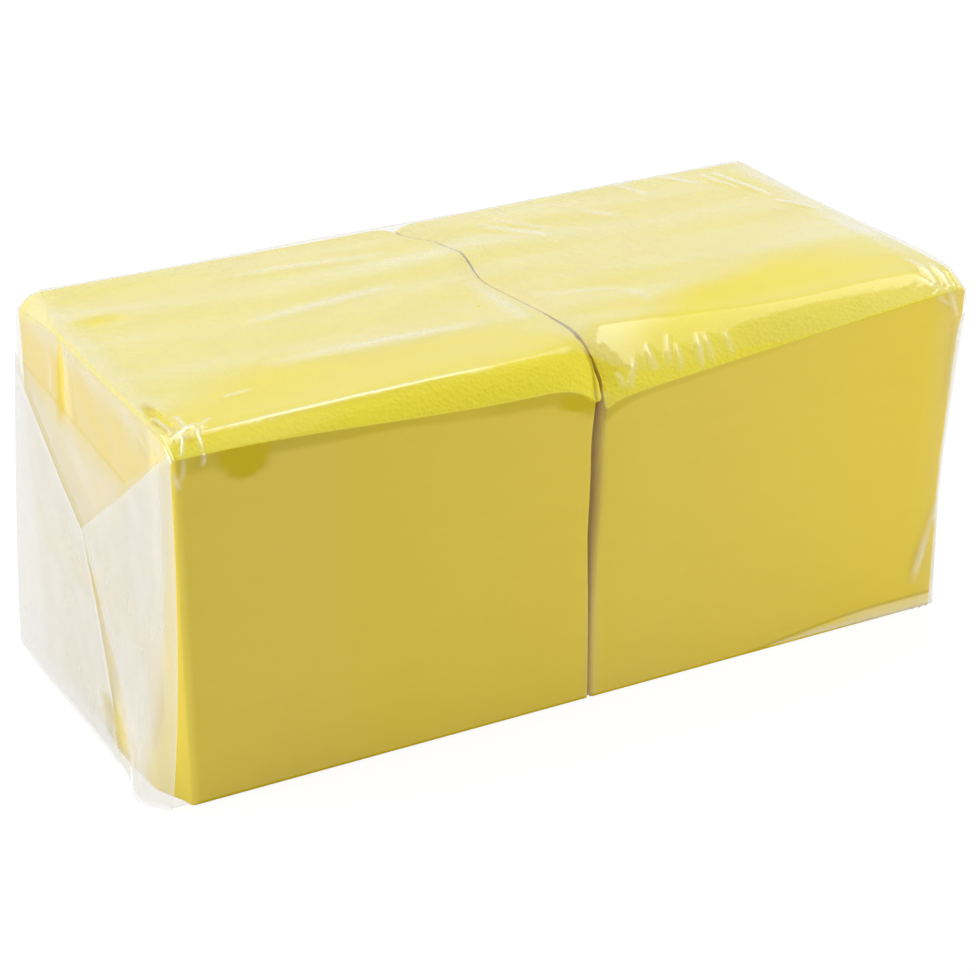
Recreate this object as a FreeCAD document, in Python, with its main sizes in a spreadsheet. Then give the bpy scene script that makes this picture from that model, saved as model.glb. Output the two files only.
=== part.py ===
# Pack of paper napkins: two stacks of folded square napkins, side by side in one folded clear film.
# X runs along the pack, the front faces -Y and Z is up. Millimetres.
# The origin is at the middle of the pack's footprint, on the surface that it lies on.

import FreeCAD, Part
import math
import os

import Sketcher

# Driving dimensions, each of which can be changed by itself
SIZES = {
    # one napkin, folded twice into a square, and how many lie on each other
    "napkin_length": 120.0,
    "napkin_width": 117.0,
    "napkin_thickness": 0.505,
    "leaf_gap": 0.03,
    "napkins_per_stack": 200,
    # the top napkins are pressed down along the front and the back by the tight film
    "bent_napkins": 40,
    "edge_reach": 13.0,
    "edge_drop": 8.0,
    # the two stacks lean apart, so the slot between them widens upwards
    "slot_at_bottom": 0.6,
    "slot_at_top": 3.0,
    # the film round both stacks, loose at the foot of its two ends
    "film_thickness": 0.2,
    "film_clearance": 0.3,
    "lower_edge_radius": 1.0,
    "left_end_flare": 7.5,
    "right_end_flare": 2.5,
    # the film's folded ends and the lap that closes it underneath
    "flap_reach": 66.0,
    "flap_inset": 1.5,
    "lap_width": 24.0,
}

# How many straight strips make one bent edge of a napkin
EDGE_STRIPS = 3

# Values worked out from the driving dimensions, as expressions that the features share
LEAF_PITCH = "(Sizes.napkin_thickness + Sizes.leaf_gap)"
PAPER_FOOT = "(2 * Sizes.film_thickness + Sizes.film_clearance)"
PAPER_TOP = f"({PAPER_FOOT} + Sizes.napkins_per_stack * {LEAF_PITCH})"
EDGE_RADIUS = "((Sizes.edge_reach ^ 2 + Sizes.edge_drop ^ 2) / (2 * Sizes.edge_drop))"
FILM_INSIDE = "(Sizes.film_clearance)"
FILM_OUTSIDE = "(Sizes.film_clearance + Sizes.film_thickness)"
LOW_END = "(Sizes.napkin_length + Sizes.slot_at_bottom / 2)"
HIGH_END = "(Sizes.napkin_length + Sizes.slot_at_top / 2)"
MEAN_FLARE = "((Sizes.left_end_flare + Sizes.right_end_flare) / 2)"
SLOT_PLACE = "((Sizes.left_end_flare - Sizes.right_end_flare) / 2)"
PAST_BOTH_ENDS = f"2 * ({HIGH_END} + Sizes.left_end_flare + Sizes.right_end_flare)"

doc = FreeCAD.newDocument("napkin_pack")
sheet = doc.addObject("Spreadsheet::Sheet", "Sizes")
for row, (alias, number) in enumerate(SIZES.items(), start=1):
    sheet.set(f"A{row}", alias.replace("_", " "))
    sheet.set(f"B{row}", str(number))
    sheet.setAlias(f"B{row}", alias)
doc.recompute()


def value(expression):
    """The number that an expression on the sheet's sizes gives."""
    return float(sheet.evalExpression(expression))


def drawn_outline(body, name, plane_role, corners, arcs):
    """A closed sketch on one of the body's own planes.

    corners are pairs of expressions. arcs maps the number of a side to the expression of its radius;
    such a side bulges outwards between its two corners, and every other side is straight.
    """
    sketch = body.newObject("Sketcher::SketchObject", name)
    plane = [f for f in body.Origin.OriginFeatures if f.Role == plane_role][0]
    sketch.AttachmentSupport = [(plane, "")]
    sketch.MapMode = "FlatFace"
    points = [FreeCAD.Vector(value(x), value(y), 0) for x, y in corners]
    count = len(points)
    for side, start in enumerate(points):
        end = points[(side + 1) % count]
        if side in arcs:
            sketch.addGeometry(outward_arc(start, end, value(arcs[side])))
        else:
            sketch.addGeometry(Part.LineSegment(start, end))
    for side in range(count):
        following = (side + 1) % count
        sketch.addConstraint(Sketcher.Constraint("Coincident", side, 2, following, 1))
        for kind, expression, number in (
            ("DistanceX", corners[side][0], points[side].x),
            ("DistanceY", corners[side][1], points[side].y),
        ):
            index = sketch.addConstraint(Sketcher.Constraint(kind, side, 1, number))
            sketch.setExpression(f"Constraints[{index}]", expression)
    for side, radius in arcs.items():
        index = sketch.addConstraint(Sketcher.Constraint("Radius", side, value(radius)))
        sketch.setExpression(f"Constraints[{index}]", radius)
    return sketch


def outward_arc(start, end, radius):
    """An arc from start to end, for an outline drawn anticlockwise: its middle lies right of the chord."""
    chord = end - start
    middle = (start + end) / 2
    outward = FreeCAD.Vector(chord.y, -chord.x, 0).normalize()
    half = chord.Length / 2
    rise = radius - math.sqrt(radius ** 2 - half ** 2)
    return Part.Arc(start, middle + outward * rise, end)


def padded_outline(name, plane_role, corners, arcs, length):
    """A body that carries one outline through, as far on both sides of its plane."""
    body = doc.addObject("PartDesign::Body", name)
    sketch = drawn_outline(body, f"{name}_outline", plane_role, corners, arcs)
    pad = body.newObject("PartDesign::Pad", f"{name}_pad")
    pad.Profile = sketch
    pad.Midplane = True
    pad.setExpression("Length", length)
    return body


def boolean(kind, name, shapes):
    """A Part::MultiCommon, Part::MultiFuse or Part::Cut of the shapes, in that order."""
    result = doc.addObject(kind, name)
    if kind == "Part::Cut":
        result.Base, result.Tool = shapes
    else:
        result.Shapes = shapes
    return result


# Film


def film_section(name, offset):
    """The film's section across the pack, offset from the napkins, carried past both ends.

    The upper corners follow the bent napkins with an arc about the same centre.
    """
    side = f"(Sizes.napkin_width / 2 + {offset})"
    foot = f"({PAPER_FOOT} - {offset})"
    top = f"({PAPER_TOP} + {offset})"
    bend = f"({EDGE_RADIUS} + {offset})"
    flat = "(Sizes.napkin_width / 2 - Sizes.edge_reach)"
    shoulder = f"({top} - {bend} + sqrt({bend} ^ 2 - (Sizes.edge_reach + {offset}) ^ 2))"
    radius = f"(Sizes.lower_edge_radius - {FILM_OUTSIDE} + {offset})"
    corners = [
        (f"-({side} - {radius})", foot),
        (f"{side} - {radius}", foot),
        (side, f"{foot} + {radius}"),
        (side, shoulder),
        (flat, top),
        (f"-{flat}", top),
        (f"-{side}", shoulder),
        (f"-{side}", f"{foot} + {radius}"),
    ]
    arcs = {1: radius, 3: bend, 5: bend, 7: radius}
    return padded_outline(name, "YZ_Plane", corners, arcs, PAST_BOTH_ENDS)


def film_side_view(name, offset, end_layers):
    """The film's outline seen from the front, with its ends flaring at the foot.

    end_layers is how many more layers of film lie on each end.
    """
    ends = f"({offset} + {end_layers} * Sizes.film_thickness)"
    foot = f"({PAPER_FOOT} - {offset})"
    top = f"({PAPER_TOP} + {offset})"
    corners = [
        (f"-({LOW_END} + {MEAN_FLARE} + {ends})", foot),
        (f"{LOW_END} + {MEAN_FLARE} + {ends}", foot),
        (f"{SLOT_PLACE} + {HIGH_END} + {ends}", top),
        (f"{SLOT_PLACE} - {HIGH_END} - {ends}", top),
    ]
    past_both_sides = "2 * Sizes.napkin_width"
    return padded_outline(name, "XZ_Plane", corners, {}, past_both_sides)


def flap_outline(name, side_sign):
    """A three-cornered end flap from one upright edge towards the middle, carried past both ends."""
    edge = f"(Sizes.napkin_width / 2 + {FILM_OUTSIDE})"
    foot = f"({PAPER_FOOT} + Sizes.flap_inset)"
    head = f"({PAPER_TOP} - Sizes.edge_drop - Sizes.flap_inset)"
    upright = f"{side_sign} * {edge}"
    tip = f"{side_sign} * ({edge} - Sizes.flap_reach)"
    corners = [
        (upright, foot if side_sign > 0 else head),
        (upright, head if side_sign > 0 else foot),
        (tip, f"({foot} + {head}) / 2"),
    ]
    return padded_outline(name, "YZ_Plane", corners, {}, PAST_BOTH_ENDS)


def film_wrap():
    """One sheet of film folded round both stacks: a closed skin with end flaps and an under lap."""
    section = film_section("film_section", FILM_OUTSIDE)
    cavity_section = film_section("cavity_section", FILM_INSIDE)
    outside = boolean(
        "Part::MultiCommon", "outside", [section, film_side_view("outside_view", FILM_OUTSIDE, 0)]
    )
    cavity = boolean(
        "Part::MultiCommon", "cavity", [cavity_section, film_side_view("cavity_view", FILM_INSIDE, 0)]
    )
    # the back flap is folded in first, and the front flap lies over its tip
    back_flaps = boolean(
        "Part::MultiCommon",
        "back_flaps",
        [section, film_side_view("back_flap_view", FILM_OUTSIDE, 1), flap_outline("back_flap", 1)],
    )
    front_flaps = boolean(
        "Part::MultiCommon",
        "front_flaps",
        [section, film_side_view("front_flap_view", FILM_OUTSIDE, 2), flap_outline("front_flap", -1)],
    )
    lap = doc.addObject("Part::Box", "under_lap")
    lap.setExpression("Length", f"2 * ({LOW_END} + {MEAN_FLARE})")
    lap.setExpression("Width", "Sizes.lap_width")
    lap.setExpression("Height", f"{PAPER_FOOT} - Sizes.film_clearance")
    lap.setExpression("Placement.Base.x", f"-({LOW_END} + {MEAN_FLARE})")
    lap.setExpression("Placement.Base.y", "-Sizes.lap_width / 2")
    folded = boolean("Part::MultiFuse", "folded", [outside, back_flaps, front_flaps, lap])
    wrap = boolean("Part::Cut", "film_wrap", [folded, cavity])
    wrap.Label = "film_wrap"
    return wrap


# Napkins


def leaf_height(level, across, fall):
    """Height of the lower face of napkin number level, at a distance from the middle of the stack.

    Only the top napkins fall towards the front and back edges: none at the lowest of them, the whole
    edge drop at the top of the stack, along the arc that the film follows.
    """
    first_bent = fall["count"] - fall["bent"]
    share = max(0.0, (level - first_bent) / fall["bent"])
    out = max(0.0, abs(across) - fall["flat"])
    arc_drop = fall["radius"] - math.sqrt(fall["radius"] ** 2 - out ** 2)
    return level * fall["pitch"] - share * arc_drop


def napkin_stack(name, side_sign):
    """A stack of separate folded napkins, each its own solid, drawn from the foot of the slot.

    side_sign is -1 for the left stack and 1 for the right one. Every napkin sits a little further
    from the slot than the one below it.
    """
    length = sheet.napkin_length
    half_width = sheet.napkin_width / 2
    thickness = sheet.napkin_thickness
    count = int(sheet.napkins_per_stack)
    fall = {
        "count": count,
        "bent": min(int(sheet.bent_napkins), count),
        "flat": half_width - sheet.edge_reach,
        "radius": value(EDGE_RADIUS),
        "pitch": value(LEAF_PITCH),
    }
    strips = [fall["flat"] + sheet.edge_reach * i / EDGE_STRIPS for i in range(EDGE_STRIPS + 1)]
    bent_places = [-y for y in reversed(strips)] + strips
    lean = (sheet.slot_at_top - sheet.slot_at_bottom) / 2 / count
    napkins = []
    for level in range(count):
        start = side_sign * (level * lean + sheet.slot_at_bottom / 2 + length / 2) - length / 2
        if level < count - fall["bent"]:
            corner = FreeCAD.Vector(start, -half_width, leaf_height(level, 0, fall))
            napkins.append(Part.makeBox(length, sheet.napkin_width, thickness, corner))
            continue
        lower = [(y, leaf_height(level, y, fall)) for y in bent_places]
        upper = [(y, leaf_height(level + 1, y, fall) - sheet.leaf_gap) for y in bent_places]
        ring = [FreeCAD.Vector(start, y, z) for y, z in lower + upper[::-1]]
        face = Part.Face(Part.makePolygon(ring + ring[:1]))
        napkins.append(face.extrude(FreeCAD.Vector(length, 0, 0)))
    stack = doc.addObject("Part::Feature", name)
    stack.Shape = Part.makeCompound(napkins)
    slot_foot = FreeCAD.Vector(value(SLOT_PLACE), 0, value(PAPER_FOOT))
    stack.Placement = FreeCAD.Placement(slot_foot, FreeCAD.Rotation())
    stack.Label = name
    return stack


def checked(parts):
    """Stop if a feature failed or a sub-part is empty or not valid."""
    for item in doc.Objects:
        if {"Invalid", "Error"} & set(item.State):
            raise RuntimeError(f"{item.Name} failed: {item.State}")
    for item in parts:
        if item.Shape.isNull() or not item.Shape.isValid():
            raise RuntimeError(f"{item.Label} has no valid shape")
    return parts


sub_parts = [film_wrap(), napkin_stack("left_napkins", -1), napkin_stack("right_napkins", 1)]
doc.recompute()
os.makedirs("parts", exist_ok=True)
for item in checked(sub_parts):
    item.Shape.exportStep(f"parts/{item.Label}.step")
    box = item.Shape.BoundBox
    print(f"{item.Label}: {len(item.Shape.Solids)} solids, {item.Shape.Volume:.0f} mm3, "
          f"x {box.XMin:.2f} to {box.XMax:.2f}, y {box.YMin:.2f} to {box.YMax:.2f}, "
          f"z {box.ZMin:.2f} to {box.ZMax:.2f}")
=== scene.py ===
"""A pack of yellow paper napkins: two square stacks side by side in one clear folded film.

Lengths are in millimetres in the frame's own axes, unless a docstring says metres, and `SheetMesh`
turns them into metres when a piece is made. The napkins and the film are surfaces worked out on
grids of points.
"""

import logging
import math
from dataclasses import dataclass, field
from enum import Enum, IntEnum
from typing import Any

import bpy
import numpy as np
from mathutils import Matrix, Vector


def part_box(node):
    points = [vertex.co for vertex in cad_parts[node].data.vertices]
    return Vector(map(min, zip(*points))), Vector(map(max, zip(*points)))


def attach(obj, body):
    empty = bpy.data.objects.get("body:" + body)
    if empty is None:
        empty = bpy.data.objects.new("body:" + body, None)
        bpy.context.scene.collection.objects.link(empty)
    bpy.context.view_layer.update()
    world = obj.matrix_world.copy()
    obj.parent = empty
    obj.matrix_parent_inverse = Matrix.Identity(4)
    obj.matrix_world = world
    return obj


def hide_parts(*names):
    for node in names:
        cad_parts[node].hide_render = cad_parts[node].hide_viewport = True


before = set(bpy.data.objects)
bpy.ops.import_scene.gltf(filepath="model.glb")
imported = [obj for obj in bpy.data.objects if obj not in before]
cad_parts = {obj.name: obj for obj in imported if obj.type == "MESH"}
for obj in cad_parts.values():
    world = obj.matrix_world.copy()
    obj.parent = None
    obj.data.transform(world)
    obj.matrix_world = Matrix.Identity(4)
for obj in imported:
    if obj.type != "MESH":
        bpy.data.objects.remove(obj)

LOG = logging.getLogger("napkin_pack")
METRE = 0.001
MAP_UNIT = 100.0  # millimetres on the surface for one unit of a piece's own map
WHITE = (1.0, 1.0, 1.0, 1.0)
Array = np.ndarray


def smooth(low: float, high: float, at: Any) -> Any:
    """Rise from 0 at low to 1 at high along 3t^2 - 2t^3, for a number or an array."""
    share = np.clip((np.asarray(at, float) - low) / (high - low), 0.0, 1.0)
    return share * share * (3.0 - 2.0 * share)


def hill(middle: float, width: float, at: Any) -> Any:
    """A bell of height 1 round middle, exp(-((at - middle) / width)^2)."""
    return np.exp(-(((np.asarray(at, float) - middle) / width) ** 2))


def bend(drop: Any, reach: Any, inward: Any) -> Any:
    """How far a pressed edge lies below the flat: drop * (1 - inward / reach)^1.8."""
    return drop * np.clip(1.0 - np.asarray(inward, float) / reach, 0.0, 1.0) ** 1.8


def arc(radius: Any, inward: Any) -> Any:
    """How far a rounded edge lies below the flat: a quarter circle of this radius."""
    off = np.clip(radius - np.asarray(inward, float), 0.0, radius)
    return radius - np.sqrt(radius ** 2 - off ** 2)


def through(knots: tuple[tuple[float, float], ...], at: Any) -> Any:
    """A curve through knots, between each two halfway between a line and 3t^2 - 2t^3.

    Args:
        knots: pairs of a place and the value there, in order of place.
        at: where the curve is wanted; outside the knots it keeps their first or last value.

    Returns:
        The curve's values.
    """
    places, values = np.array(knots).T
    at = np.clip(np.asarray(at, float), places[0], places[-1])
    index = np.clip(np.searchsorted(places, at, side="right") - 1, 0, len(places) - 2)
    share = (at - places[index]) / (places[index + 1] - places[index])
    share = 0.5 * share + 0.5 * share * share * (3.0 - 2.0 * share)
    return values[index] + (values[index + 1] - values[index]) * share


class Ripples:
    """Smooth seeded noise: a sum of cosine waves of mixed direction and wavelength."""

    def __init__(self, seed: int, shortest: float, longest: float, waves: int = 24,
                 stretch: float = 1.0) -> None:
        """Draw the waves.

        Args:
            seed: seed of the random draws.
            shortest: shortest wavelength, in millimetres.
            longest: longest wavelength, in millimetres.
            waves: how many waves are added.
            stretch: how many times longer the pattern is along the first direction.
        """
        draw = np.random.default_rng(seed)
        angle = draw.uniform(0.0, 2.0 * np.pi, waves)
        length = np.exp(draw.uniform(np.log(shortest), np.log(longest), waves))
        self.first = 2.0 * np.pi * np.cos(angle) / (length * stretch)
        self.second = 2.0 * np.pi * np.sin(angle) / length
        self.phase = draw.uniform(0.0, 2.0 * np.pi, waves)
        self.scale = math.sqrt(2.0 / waves)

    def at(self, first: Array, second: Array) -> Array:
        """The noise at two arrays of coordinates.

        Args:
            first, second: the coordinates, in millimetres.

        Returns:
            The sum of cos(kx * first + ky * second + phase), about -2 to 2 with a spread of 1.
        """
        total = np.zeros(np.broadcast(first, second).shape)
        for kx, ky, phase in zip(self.first, self.second, self.phase):
            total += np.cos(kx * first + ky * second + phase)
        return total * self.scale

    def creases(self, first: Array, second: Array) -> Array:
        """Sharp-topped ridges of height 0 to 1: exp(-|noise| * 3)."""
        return np.exp(-3.0 * np.abs(self.at(first, second)))


@dataclass
class SheetMesh:
    """Collects grids of points into one mesh, with a map and named numbers at each point.

    Attributes:
        points, maps: each grid's points and their places on the piece's own map.
        faces: point numbers of each grid's faces, four to a face, the last two equal in a triangle.
        marks: the numbers kept at the points, by name.
        count: how many points there are so far.
    """

    points: list[Array] = field(default_factory=list)
    faces: list[Array] = field(default_factory=list)
    maps: list[Array] = field(default_factory=list)
    marks: dict[str, list[Array]] = field(default_factory=dict)
    count: int = 0

    def add_grid(self, x: Array, y: Array, z: Array, place: tuple[Array, Array],
                 around: bool = False, flip: bool = False, **marks: Any) -> Array:
        """Add a grid of rows and columns of points.

        Args:
            x, y, z: coordinates in millimetres, each rows by columns.
            place: the two coordinates of the piece's own map, in millimetres on the surface.
            around: True if the last column joins the first.
            flip: True turns the faces over.
            marks: numbers kept at the points, by name.

        Returns:
            The grid's point numbers, rows by columns.
        """
        rows, columns = x.shape
        number = self.count + np.arange(rows * columns).reshape(rows, columns)
        self.points.append(np.stack([x, y, z], -1).reshape(-1, 3))
        self.maps.append(np.stack([np.broadcast_to(m, x.shape) for m in place], -1).reshape(-1, 2))
        for name, mark in marks.items():
            values = np.broadcast_to(np.asarray(mark, float), x.shape).reshape(-1)
            self.marks.setdefault(name, []).append(values)
        self.count += rows * columns
        right = np.roll(number, -1, 1) if around else number[:, 1:]
        left = number if around else number[:, :-1]
        quads = np.stack([left[:-1], right[:-1], right[1:], left[1:]], -1).reshape(-1, 4)
        self.faces.append(quads[:, ::-1] if flip else quads)
        return number

    def join(self, lower: Array, upper: Array) -> None:
        """Bridge two rings of as many points, lower and upper, with one row of faces."""
        self.faces.append(np.stack([lower, np.roll(lower, -1), np.roll(upper, -1), upper], -1))

    def close_ring(self, ring: Array, flip: bool = False) -> None:
        """Close a ring of points with a fan about their middle, so that no hole is left.

        Args:
            ring: the ring's point numbers.
            flip: True turns the faces over.
        """
        for kept in (self.points, self.maps, *self.marks.values()):
            kept.append(np.concatenate(kept)[ring].mean(0)[None])
        middle = np.full(len(ring), self.count)
        self.count += 1
        fan = np.stack([ring, np.roll(ring, -1), middle, middle], -1)
        self.faces.append(fan[:, [1, 0, 2, 3]] if flip else fan)

    def build(self, name: str) -> bpy.types.Object:
        """Make the object in metres, smooth shaded, at the origin.

        Args:
            name: the piece's name.

        Returns:
            The linked mesh object, with each mark as a point attribute.
        """
        points = np.concatenate(self.points) * METRE
        faces = np.concatenate(self.faces)
        size = np.where(faces[:, 2] == faces[:, 3], 3, 4)
        corners = faces[np.arange(4)[None, :] < size[:, None]]
        starts = np.concatenate([[0], np.cumsum(size)[:-1]])
        mesh = bpy.data.meshes.new(name)
        mesh.vertices.add(len(points))
        mesh.vertices.foreach_set("co", points.astype(np.float32).ravel())
        mesh.loops.add(len(corners))
        mesh.loops.foreach_set("vertex_index", corners.astype(np.int32))
        mesh.polygons.add(len(faces))
        mesh.polygons.foreach_set("loop_start", starts.astype(np.int32))
        mesh.polygons.foreach_set("loop_total", size.astype(np.int32))
        mesh.update(calc_edges=True)
        mesh.validate()
        mesh.polygons.foreach_set("use_smooth", np.ones(len(mesh.polygons), bool))
        vertex_of_loop = np.zeros(len(mesh.loops), np.int32)
        mesh.loops.foreach_get("vertex_index", vertex_of_loop)
        flat = np.concatenate(self.maps)[vertex_of_loop] / MAP_UNIT
        layer = mesh.uv_layers.new(name="surface")
        layer.data.foreach_set("uv", flat.astype(np.float32).ravel())
        for mark, values in self.marks.items():
            kept = mesh.attributes.new(mark, "FLOAT", "POINT")
            kept.data.foreach_set("value", np.concatenate(values).astype(np.float32))
        piece = bpy.data.objects.new(name, mesh)
        bpy.context.scene.collection.objects.link(piece)
        return piece


class Side(Enum):
    """Which of the two stacks, or which end of the pack."""

    LEFT = -1
    RIGHT = 1


@dataclass(frozen=True)
class PackForm:
    """The soft form that the tight film presses the two stacks into.

    Attributes:
        left, right: x of the left stack's left side and of the right stack's right side.
        front, back: y of the stacks' front and back.
        foot, top: z of the lowest and the highest napkin.
        slot: x of the middle of the slot between the stacks.
    """

    left: float
    right: float
    front: float
    back: float
    foot: float
    top: float
    slot: float

    @property
    def half_depth(self) -> float:
        """Half the stacks' depth from front to back."""
        return (self.back - self.front) / 2.0

    @classmethod
    def from_frame(cls) -> "PackForm":
        """Read the places of the two stacks from the frame's nodes."""
        left_low, left_high = (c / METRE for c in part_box("left_napkins"))
        right_low, right_high = (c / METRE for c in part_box("right_napkins"))
        return cls(left_low.x, right_high.x, left_low.y, left_high.y, left_low.z, left_high.z,
                   (left_high.x + right_low.x) / 2.0)

    def slot_line(self, y: Array, z: Array) -> Array:
        """Where the slot between the stacks runs: near straight at the foot, winding at the top.

        Args:
            y, z: places in the slot.

        Returns:
            The x of its middle there.
        """
        front_share = (self.back - y) / (self.back - self.front)
        deep = self.slot + 2.8 * front_share + 1.0 * smooth(44.0, 75.0, z) * front_share
        top = through(((-58.5, 8.4), (-52.0, 10.4), (-46.0, 10.2), (-34.0, 10.7), (-26.0, 10.2),
                       (8.0, 5.6), (32.0, 11.0), (42.0, 8.7), (54.0, 1.8), (58.5, 1.2)), y)
        return deep + (top - deep) * smooth(78.0, 106.0, z)

    def slot_on_top(self, y: Any) -> Array:
        """Where the slot's middle runs at the height of the top napkins."""
        return self.slot_line(np.float64(y), np.float64(self.top))

    def slot_width(self, y: Array, z: Array) -> Array:
        """The slot's width: narrow at the foot, widest high up, closed in the middle of the top.

        Args:
            y, z: places in the slot.

        Returns:
            Its width there.
        """
        deep = through(((0.0, 0.6), (20.0, 0.8), (30.0, 1.1), (44.0, 1.9), (54.0, 2.7),
                        (80.0, 2.9), (96.0, 3.0), (102.0, 2.0), (108.0, 0.9)), z)
        closed = 0.35 * smooth(-29.0, -19.0, y) - 0.2 * smooth(8.0, 16.0, y)
        closed = closed + 0.5 * smooth(-38.5, -18.5, y)
        return deep - closed * smooth(96.0, 108.0, z)

    def outer_end(self, side: Side, y: Array, z: Array) -> Array:
        """Where the outer end of one stack is.

        A few of the left stack's lowest napkins have slid out to the film, and the right stack
        leans out towards its top front.

        Args:
            side: the stack.
            y, z: places on its end.

        Returns:
            The end's x there.
        """
        if side is Side.LEFT:
            slid = 5.3 * smooth(self.front, -44.0, y) * (1.0 - smooth(38.0, self.back, y))
            slid = (slid + 1.5 * hill(-25.0, 15.0, y)) * (1.0 - smooth(1.0, 25.0, z))
            return self.left - 0.3 * smooth(0.0, 60.0, z) - slid
        near = 1.0 - smooth(self.front, 45.0, y)
        front = through(((0.0, 2.3), (20.0, 2.2), (36.0, 1.8), (49.0, 2.2), (62.0, 3.1),
                         (75.0, 4.2), (88.0, 5.2), (98.0, 6.6), (104.0, 6.8), (108.0, 6.9)), z)
        back = 0.9 + 2.0 * smooth(20.0, 108.0, z)
        return self.right + back + (front - back) * near

    def end_radius(self, side: Side, y: Array) -> Array:
        """The radius of the top edge of one end: largest at the back left and the front right.

        Args:
            side: the stack.
            y: places along the edge.

        Returns:
            The radius there.
        """
        if side is Side.LEFT:
            return 1.1 + 5.7 * smooth(26.0, self.back, y)
        return 0.9 + 1.7 * (1.0 - smooth(self.front, -40.0, y))

    def front_drop(self, x: Array) -> Array:
        """How far the top napkins are pushed down along the front edge.

        Args:
            x: places along the edge.

        Returns:
            The drop there, most beside the slot.
        """
        line = self.slot_on_top(self.front)
        left = 4.0 + 4.0 * smooth(-108.0, -10.0, x) + 4.6 * hill(line, 8.0, x)
        right = 14.4 - 0.09 * (x - line) + 1.0 * hill(line, 8.0, x)
        return np.where(x < line, left, right)

    def front_reach(self, x: Array) -> Array:
        """How far in from the front edge the pushed-down strip starts.

        Args:
            x: places along the edge.

        Returns:
            The strip's width there.
        """
        line = self.slot_on_top(self.front)
        left = 8.5 + 5.0 * hill(line, 14.0, x)
        right = 10.0 + 12.0 * (1.0 - smooth(line, line + 70.0, x))
        return np.where(x < line, left, right)

    def paper_top(self, x: Array, y: Array) -> Array:
        """Height of the top napkin, bent down at its front, back and ends and beside the slot.

        Args:
            x, y: places on the top.

        Returns:
            The height there.
        """
        line = self.slot_on_top(y)
        fall = bend(self.front_drop(x), self.front_reach(x), y - self.front)
        fall = fall + bend(0.5, 2.0, self.back - y)
        for side in Side:
            inward = side.value * (self.outer_end(side, y, np.float64(self.top)) - x)
            fall = fall + arc(self.end_radius(side, y) + 0.2, inward)
        fall = fall + bend(1.8, 7.0, np.abs(x - line))
        inward = y - self.front
        fall = fall + 1.4 * hill(2.6, 0.6, line - x) * (1.0 - smooth(8.0, 13.0, inward))
        swell = 0.3 * np.cos(x / 31.0 + 0.6) * np.cos(y / 23.0)
        return self.top + 0.1 + swell - fall

    def paper_foot(self, x: Array, y: Array) -> Array:
        """Height of the lowest napkin."""
        return np.broadcast_arrays(np.float64(self.foot) - 0.35, x, y)[0]

    def painted_light_shade_and_cling(self, x: Array, y: Array, z: Array, top: Array) -> Array:
        """Tone of the sides: below 0 for painted shade and where the film clings, above 0 for
        painted light.

        Args:
            x, y, z: places on the sides.
            top: height of the upper edge above each place.

        Returns:
            The tone, from -1 to 1.
        """
        front = y < self.front + 0.7
        under = top - z
        # Painted shade in a band under the top fold along the front edge.
        shade = through(((-119.0, 0.3), (-112.0, 0.8), (-88.0, 0.95), (-60.0, 0.8), (-34.0, 0.6),
                         (-22.0, 0.9), (0.0, 0.9), (14.0, 0.8), (24.0, 0.5), (60.0, 0.3),
                         (90.0, 0.0)), x)
        depth = through(((-119.0, 6.5), (-100.0, 5.0), (-80.0, 4.5), (-55.0, 2.8), (-20.0, 4.5),
                         (4.0, 5.5), (20.0, 2.5), (90.0, 1.5)), x)
        dark = shade * (1.0 - smooth(0.45, 1.0, under / depth))
        # The front is also deeper in colour where the film clings to it.
        for contact in CONTACTS:
            if contact.face is Face.FRONT:
                dark = np.maximum(dark, contact.amount(x, z))
        lip = self.lip(x)
        # Painted shade in a thin line along the edge of the film's lip.
        dark = np.maximum(dark, hill(0.0, 0.5, z - lip) * smooth(54.0, 64.0, x))
        # Painted light on the left end's front corner and where the film clings on the left end.
        low = 1.0 - z / self.top
        light = (1.0 - smooth(0.4, 1.0 + 1.6 * low, x - self.left)) * (y < self.front + 16.0)
        for contact in CONTACTS:
            if contact.face is Face.LEFT_END:
                light = np.maximum(light, contact.amount(y, z) * (x < self.left + 0.2))
        # Painted light on the front below the film's lip.
        bright = smooth(50.0, 58.0, x) * (1.0 - smooth(-0.9, -0.3, z - lip))
        # Painted shade along the foot of the front.
        dark = dark + 1.6 * (1.0 - smooth(0.6, 1.2, z))
        return np.clip(light + front * (1.0 - light) * (bright - dark), -1.0, 1.0)

    def lip(self, x: Array) -> Array:
        """Height of the loose film's lip along the foot of the right stack's front."""
        return 4.9 * smooth(44.0, 106.0, x)


# Painted shade of small crumples of the top napkin at the pack's near left corner: x, y and radius.
CRUMPLE_SHADES = ((-115.4, -32.6, 1.5), (-116.4, -37.6, 1.0), (-117.2, -43.3, 1.4), (-115.9, -48.4, 1.2),
            (-113.0, -53.5, 1.0))


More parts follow.
